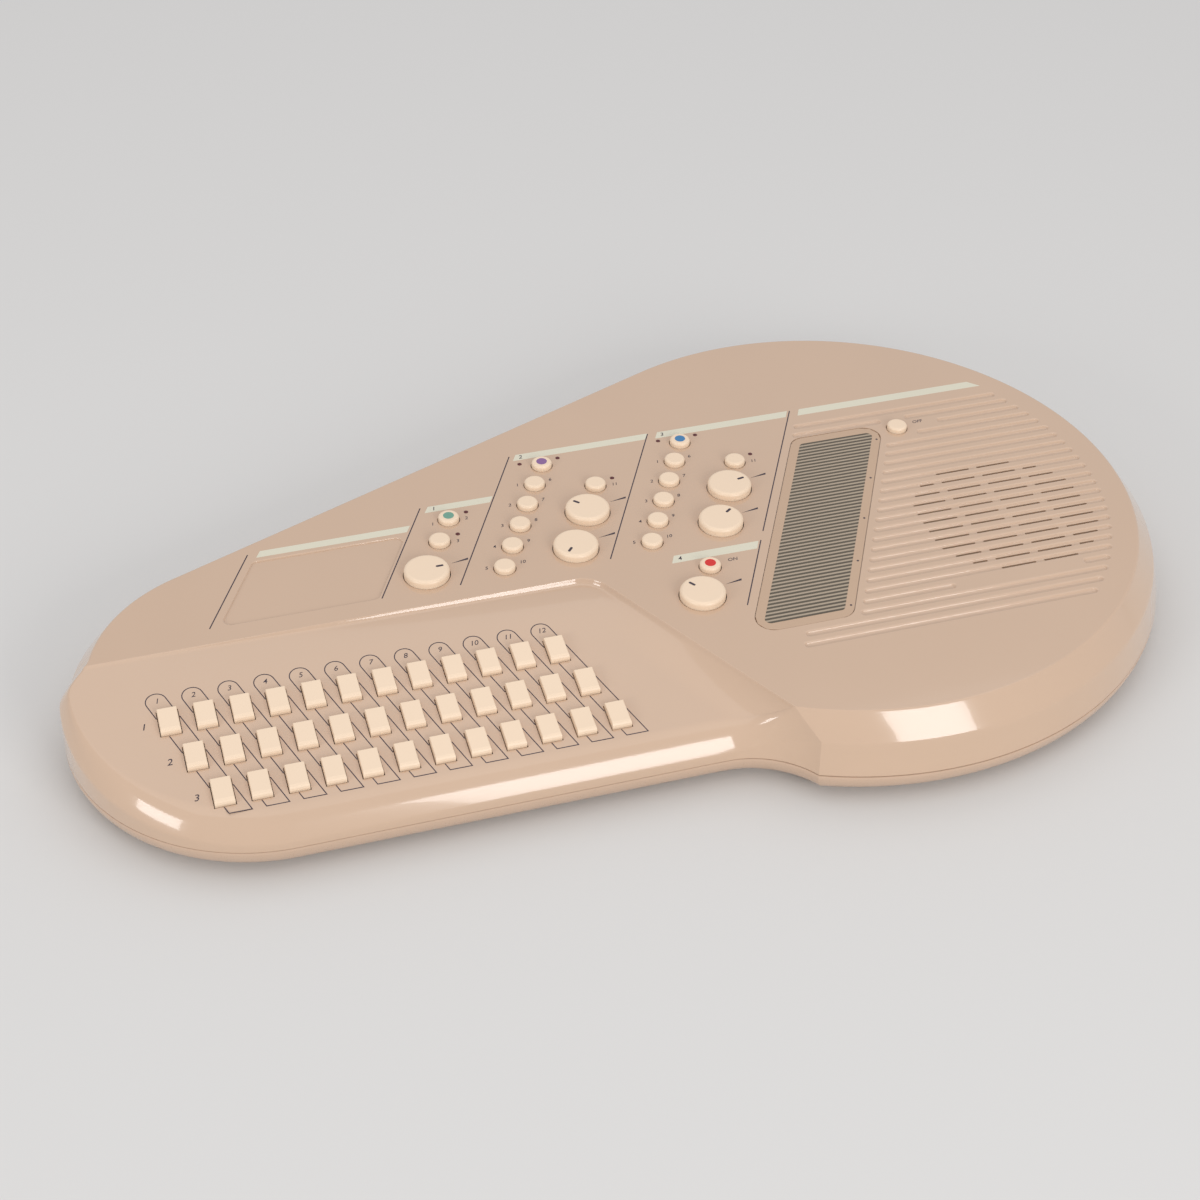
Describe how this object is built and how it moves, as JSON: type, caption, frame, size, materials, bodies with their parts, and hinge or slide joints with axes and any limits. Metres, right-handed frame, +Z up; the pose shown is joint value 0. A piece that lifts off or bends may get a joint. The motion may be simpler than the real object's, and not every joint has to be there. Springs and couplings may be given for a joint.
{
  "type": "electronic autoharp",
  "caption": "Electronic autoharp: guitar-shaped two-shell case with small chord keys, round push buttons, knobs, a ribbed touch plate and a slotted speaker grille.",
  "frame": {"origin": "middle of the outline's bounding rectangle, on the plane the feet stand on", "axes": "+X along the instrument from the narrow end to the round end, +Y away from the player, +Z up"},
  "size_m": [0.5935, 0.354, 0.0534],
  "materials": {
    "case_top": "glossy warm beige",
    "case_bottom": "satin warm beige",
    "door": "satin warm beige",
    "touch_plate": "satin khaki with dark lines",
    "speaker_steel": "satin black",
    "speaker_paper": "matt black",
    "board": "green solder mask",
    "key_board": "green solder mask",
    "dome_rubber": "matt grey",
    "cells": "plain dark sleeve",
    "socket_plastic": "matt black",
    "ivory": "satin ivory"
  },
  "bodies": {
    "case": {"upper_housing": "case_top", "lower_housing": "case_bottom", "battery_door": "door", "touch_plate": "touch_plate", "speaker_basket": "speaker_steel", "speaker_cone": "speaker_paper", "main_board": "board", "chord_key_board": "key_board", "key_dome_sheet": "dome_rubber", "battery_pack": "cells", "rear_sockets": "socket_plastic"},
    "chord_key_1_01": {"chord_key_1_01": "ivory"},
    "chord_key_1_02": {"chord_key_1_02": "ivory"},
    "chord_key_1_03": {"chord_key_1_03": "ivory"},
    "chord_key_1_04": {"chord_key_1_04": "ivory"},
    "chord_key_1_05": {"chord_key_1_05": "ivory"},
    "chord_key_1_06": {"chord_key_1_06": "ivory"},
    "chord_key_1_07": {"chord_key_1_07": "ivory"},
    "chord_key_1_08": {"chord_key_1_08": "ivory"},
    "chord_key_1_09": {"chord_key_1_09": "ivory"},
    "chord_key_1_10": {"chord_key_1_10": "ivory"},
    "chord_key_1_11": {"chord_key_1_11": "ivory"},
    "chord_key_1_12": {"chord_key_1_12": "ivory"},
    "chord_key_2_01": {"chord_key_2_01": "ivory"},
    "chord_key_2_02": {"chord_key_2_02": "ivory"},
    "chord_key_2_03": {"chord_key_2_03": "ivory"},
    "chord_key_2_04": {"chord_key_2_04": "ivory"},
    "chord_key_2_05": {"chord_key_2_05": "ivory"},
    "chord_key_2_06": {"chord_key_2_06": "ivory"},
    "chord_key_2_07": {"chord_key_2_07": "ivory"},
    "chord_key_2_08": {"chord_key_2_08": "ivory"},
    "chord_key_2_09": {"chord_key_2_09": "ivory"},
    "chord_key_2_10": {"chord_key_2_10": "ivory"},
    "chord_key_2_11": {"chord_key_2_11": "ivory"},
    "chord_key_2_12": {"chord_key_2_12": "ivory"},
    "chord_key_3_01": {"chord_key_3_01": "ivory"},
    "chord_key_3_02": {"chord_key_3_02": "ivory"},
    "chord_key_3_03": {"chord_key_3_03": "ivory"},
    "chord_key_3_04": {"chord_key_3_04": "ivory"},
    "chord_key_3_05": {"chord_key_3_05": "ivory"},
    "chord_key_3_06": {"chord_key_3_06": "ivory"},
    "chord_key_3_07": {"chord_key_3_07": "ivory"},
    "chord_key_3_08": {"chord_key_3_08": "ivory"},
    "chord_key_3_09": {"chord_key_3_09": "ivory"},
    "chord_key_3_10": {"chord_key_3_10": "ivory"},
    "chord_key_3_11": {"chord_key_3_11": "ivory"},
    "chord_key_3_12": {"chord_key_3_12": "ivory"},
    "chord_volume_knob": {"chord_volume_knob": "ivory"},
    "rhythm_volume_knob": {"rhythm_volume_knob": "ivory"},
    "tempo_knob": {"tempo_knob": "ivory"},
    "voice_volume_knob": {"voice_volume_knob": "ivory"},
    "sustain_knob": {"sustain_knob": "ivory"},
    "master_volume_knob": {"master_volume_knob": "ivory"},
    "chord_mode_buttons": {"chord_mode_buttons": "ivory"},
    "rhythm_buttons": {"rhythm_buttons": "ivory"},
    "voice_buttons": {"voice_buttons": "ivory"},
    "power_button": {"power_button": "ivory"},
    "prompt_button": {"prompt_button": "ivory"}
  },
  "joints": [
    {"name": "chord_key_1_01_press", "type": "slide", "parent": "case", "child": "chord_key_1_01", "axis": [0, -0.134, 0.991], "range_m": [-0.002, 0], "stiffness_N_per_m": 250},
    {"name": "chord_key_1_02_press", "type": "slide", "parent": "case", "child": "chord_key_1_02", "axis": [0, -0.134, 0.991], "range_m": [-0.002, 0], "stiffness_N_per_m": 250},
    {"name": "chord_key_1_03_press", "type": "slide", "parent": "case", "child": "chord_key_1_03", "axis": [0, -0.134, 0.991], "range_m": [-0.002, 0], "stiffness_N_per_m": 250},
    {"name": "chord_key_1_04_press", "type": "slide", "parent": "case", "child": "chord_key_1_04", "axis": [0, -0.134, 0.991], "range_m": [-0.002, 0], "stiffness_N_per_m": 250},
    {"name": "chord_key_1_05_press", "type": "slide", "parent": "case", "child": "chord_key_1_05", "axis": [0, -0.134, 0.991], "range_m": [-0.002, 0], "stiffness_N_per_m": 250},
    {"name": "chord_key_1_06_press", "type": "slide", "parent": "case", "child": "chord_key_1_06", "axis": [0, -0.134, 0.991], "range_m": [-0.002, 0], "stiffness_N_per_m": 250},
    {"name": "chord_key_1_07_press", "type": "slide", "parent": "case", "child": "chord_key_1_07", "axis": [0, -0.134, 0.991], "range_m": [-0.002, 0], "stiffness_N_per_m": 250},
    {"name": "chord_key_1_08_press", "type": "slide", "parent": "case", "child": "chord_key_1_08", "axis": [0, -0.134, 0.991], "range_m": [-0.002, 0], "stiffness_N_per_m": 250},
    {"name": "chord_key_1_09_press", "type": "slide", "parent": "case", "child": "chord_key_1_09", "axis": [0, -0.134, 0.991], "range_m": [-0.002, 0], "stiffness_N_per_m": 250},
    {"name": "chord_key_1_10_press", "type": "slide", "parent": "case", "child": "chord_key_1_10", "axis": [0, -0.134, 0.991], "range_m": [-0.002, 0], "stiffness_N_per_m": 250},
    {"name": "chord_key_1_11_press", "type": "slide", "parent": "case", "child": "chord_key_1_11", "axis": [0, -0.134, 0.991], "range_m": [-0.002, 0], "stiffness_N_per_m": 250},
    {"name": "chord_key_1_12_press", "type": "slide", "parent": "case", "child": "chord_key_1_12", "axis": [0, -0.134, 0.991], "range_m": [-0.002, 0], "stiffness_N_per_m": 250},
    {"name": "chord_key_2_01_press", "type": "slide", "parent": "case", "child": "chord_key_2_01", "axis": [0, -0.134, 0.991], "range_m": [-0.002, 0], "stiffness_N_per_m": 250},
    {"name": "chord_key_2_02_press", "type": "slide", "parent": "case", "child": "chord_key_2_02", "axis": [0, -0.134, 0.991], "range_m": [-0.002, 0], "stiffness_N_per_m": 250},
    {"name": "chord_key_2_03_press", "type": "slide", "parent": "case", "child": "chord_key_2_03", "axis": [0, -0.134, 0.991], "range_m": [-0.002, 0], "stiffness_N_per_m": 250},
    {"name": "chord_key_2_04_press", "type": "slide", "parent": "case", "child": "chord_key_2_04", "axis": [0, -0.134, 0.991], "range_m": [-0.002, 0], "stiffness_N_per_m": 250},
    {"name": "chord_key_2_05_press", "type": "slide", "parent": "case", "child": "chord_key_2_05", "axis": [0, -0.134, 0.991], "range_m": [-0.002, 0], "stiffness_N_per_m": 250},
    {"name": "chord_key_2_06_press", "type": "slide", "parent": "case", "child": "chord_key_2_06", "axis": [0, -0.134, 0.991], "range_m": [-0.002, 0], "stiffness_N_per_m": 250},
    {"name": "chord_key_2_07_press", "type": "slide", "parent": "case", "child": "chord_key_2_07", "axis": [0, -0.134, 0.991], "range_m": [-0.002, 0], "stiffness_N_per_m": 250},
    {"name": "chord_key_2_08_press", "type": "slide", "parent": "case", "child": "chord_key_2_08", "axis": [0, -0.134, 0.991], "range_m": [-0.002, 0], "stiffness_N_per_m": 250},
    {"name": "chord_key_2_09_press", "type": "slide", "parent": "case", "child": "chord_key_2_09", "axis": [0, -0.134, 0.991], "range_m": [-0.002, 0], "stiffness_N_per_m": 250},
    {"name": "chord_key_2_10_press", "type": "slide", "parent": "case", "child": "chord_key_2_10", "axis": [0, -0.134, 0.991], "range_m": [-0.002, 0], "stiffness_N_per_m": 250},
    {"name": "chord_key_2_11_press", "type": "slide", "parent": "case", "child": "chord_key_2_11", "axis": [0, -0.134, 0.991], "range_m": [-0.002, 0], "stiffness_N_per_m": 250},
    {"name": "chord_key_2_12_press", "type": "slide", "parent": "case", "child": "chord_key_2_12", "axis": [0, -0.134, 0.991], "range_m": [-0.002, 0], "stiffness_N_per_m": 250},
    {"name": "chord_key_3_01_press", "type": "slide", "parent": "case", "child": "chord_key_3_01", "axis": [0, -0.134, 0.991], "range_m": [-0.002, 0], "stiffness_N_per_m": 250},
    {"name": "chord_key_3_02_press", "type": "slide", "parent": "case", "child": "chord_key_3_02", "axis": [0, -0.134, 0.991], "range_m": [-0.002, 0], "stiffness_N_per_m": 250},
    {"name": "chord_key_3_03_press", "type": "slide", "parent": "case", "child": "chord_key_3_03", "axis": [0, -0.134, 0.991], "range_m": [-0.002, 0], "stiffness_N_per_m": 250},
    {"name": "chord_key_3_04_press", "type": "slide", "parent": "case", "child": "chord_key_3_04", "axis": [0, -0.134, 0.991], "range_m": [-0.002, 0], "stiffness_N_per_m": 250},
    {"name": "chord_key_3_05_press", "type": "slide", "parent": "case", "child": "chord_key_3_05", "axis": [0, -0.134, 0.991], "range_m": [-0.002, 0], "stiffness_N_per_m": 250},
    {"name": "chord_key_3_06_press", "type": "slide", "parent": "case", "child": "chord_key_3_06", "axis": [0, -0.134, 0.991], "range_m": [-0.002, 0], "stiffness_N_per_m": 250},
    {"name": "chord_key_3_07_press", "type": "slide", "parent": "case", "child": "chord_key_3_07", "axis": [0, -0.134, 0.991], "range_m": [-0.002, 0], "stiffness_N_per_m": 250},
    {"name": "chord_key_3_08_press", "type": "slide", "parent": "case", "child": "chord_key_3_08", "axis": [0, -0.134, 0.991], "range_m": [-0.002, 0], "stiffness_N_per_m": 250},
    {"name": "chord_key_3_09_press", "type": "slide", "parent": "case", "child": "chord_key_3_09", "axis": [0, -0.134, 0.991], "range_m": [-0.002, 0], "stiffness_N_per_m": 250},
    {"name": "chord_key_3_10_press", "type": "slide", "parent": "case", "child": "chord_key_3_10", "axis": [0, -0.134, 0.991], "range_m": [-0.002, 0], "stiffness_N_per_m": 250},
    {"name": "chord_key_3_11_press", "type": "slide", "parent": "case", "child": "chord_key_3_11", "axis": [0, -0.134, 0.991], "range_m": [-0.002, 0], "stiffness_N_per_m": 250},
    {"name": "chord_key_3_12_press", "type": "slide", "parent": "case", "child": "chord_key_3_12", "axis": [0, -0.134, 0.991], "range_m": [-0.002, 0], "stiffness_N_per_m": 250},
    {"name": "chord_volume_knob_turn", "type": "hinge", "parent": "case", "child": "chord_volume_knob", "pos_m": [-0.10405, 0.00054, 0.049], "axis": [0, 0, 1], "range_deg": [-60, 240]},
    {"name": "rhythm_volume_knob_turn", "type": "hinge", "parent": "case", "child": "rhythm_volume_knob", "pos_m": [-0.02415, 0.00054, 0.049], "axis": [0, 0, 1], "range_deg": [-289, 11]},
    {"name": "tempo_knob_turn", "type": "hinge", "parent": "case", "child": "tempo_knob", "pos_m": [-0.00941, 0.02894, 0.049], "axis": [0, 0, 1], "range_deg": [-194, 106]},
    {"name": "voice_volume_knob_turn", "type": "hinge", "parent": "case", "child": "voice_volume_knob", "pos_m": [0.05615, 0.00054, 0.049], "axis": [0, 0, 1], "range_deg": [-97, 203]},
    {"name": "sustain_knob_turn", "type": "hinge", "parent": "case", "child": "sustain_knob", "pos_m": [0.07089, 0.02894, 0.049], "axis": [0, 0, 1], "range_deg": [-71, 229]},
    {"name": "master_volume_knob_turn", "type": "hinge", "parent": "case", "child": "master_volume_knob", "pos_m": [0.02725, -0.05436, 0.049], "axis": [0, 0, 1], "range_deg": [-185, 115]},
    {"name": "chord_mode_buttons_press", "type": "slide", "parent": "case", "child": "chord_mode_buttons", "axis": [0, 0, 1], "range_m": [-0.0015, 0], "stiffness_N_per_m": 400},
    {"name": "rhythm_buttons_press", "type": "slide", "parent": "case", "child": "rhythm_buttons", "axis": [0, 0, 1], "range_m": [-0.0015, 0], "stiffness_N_per_m": 400},
    {"name": "voice_buttons_press", "type": "slide", "parent": "case", "child": "voice_buttons", "axis": [0, 0, 1], "range_m": [-0.0015, 0], "stiffness_N_per_m": 400},
    {"name": "power_button_press", "type": "slide", "parent": "case", "child": "power_button", "axis": [0, 0, 1], "range_m": [-0.0015, 0], "stiffness_N_per_m": 400},
    {"name": "prompt_button_press", "type": "slide", "parent": "case", "child": "prompt_button", "axis": [0, 0, 1], "range_m": [-0.0015, 0], "stiffness_N_per_m": 400}
  ]
}
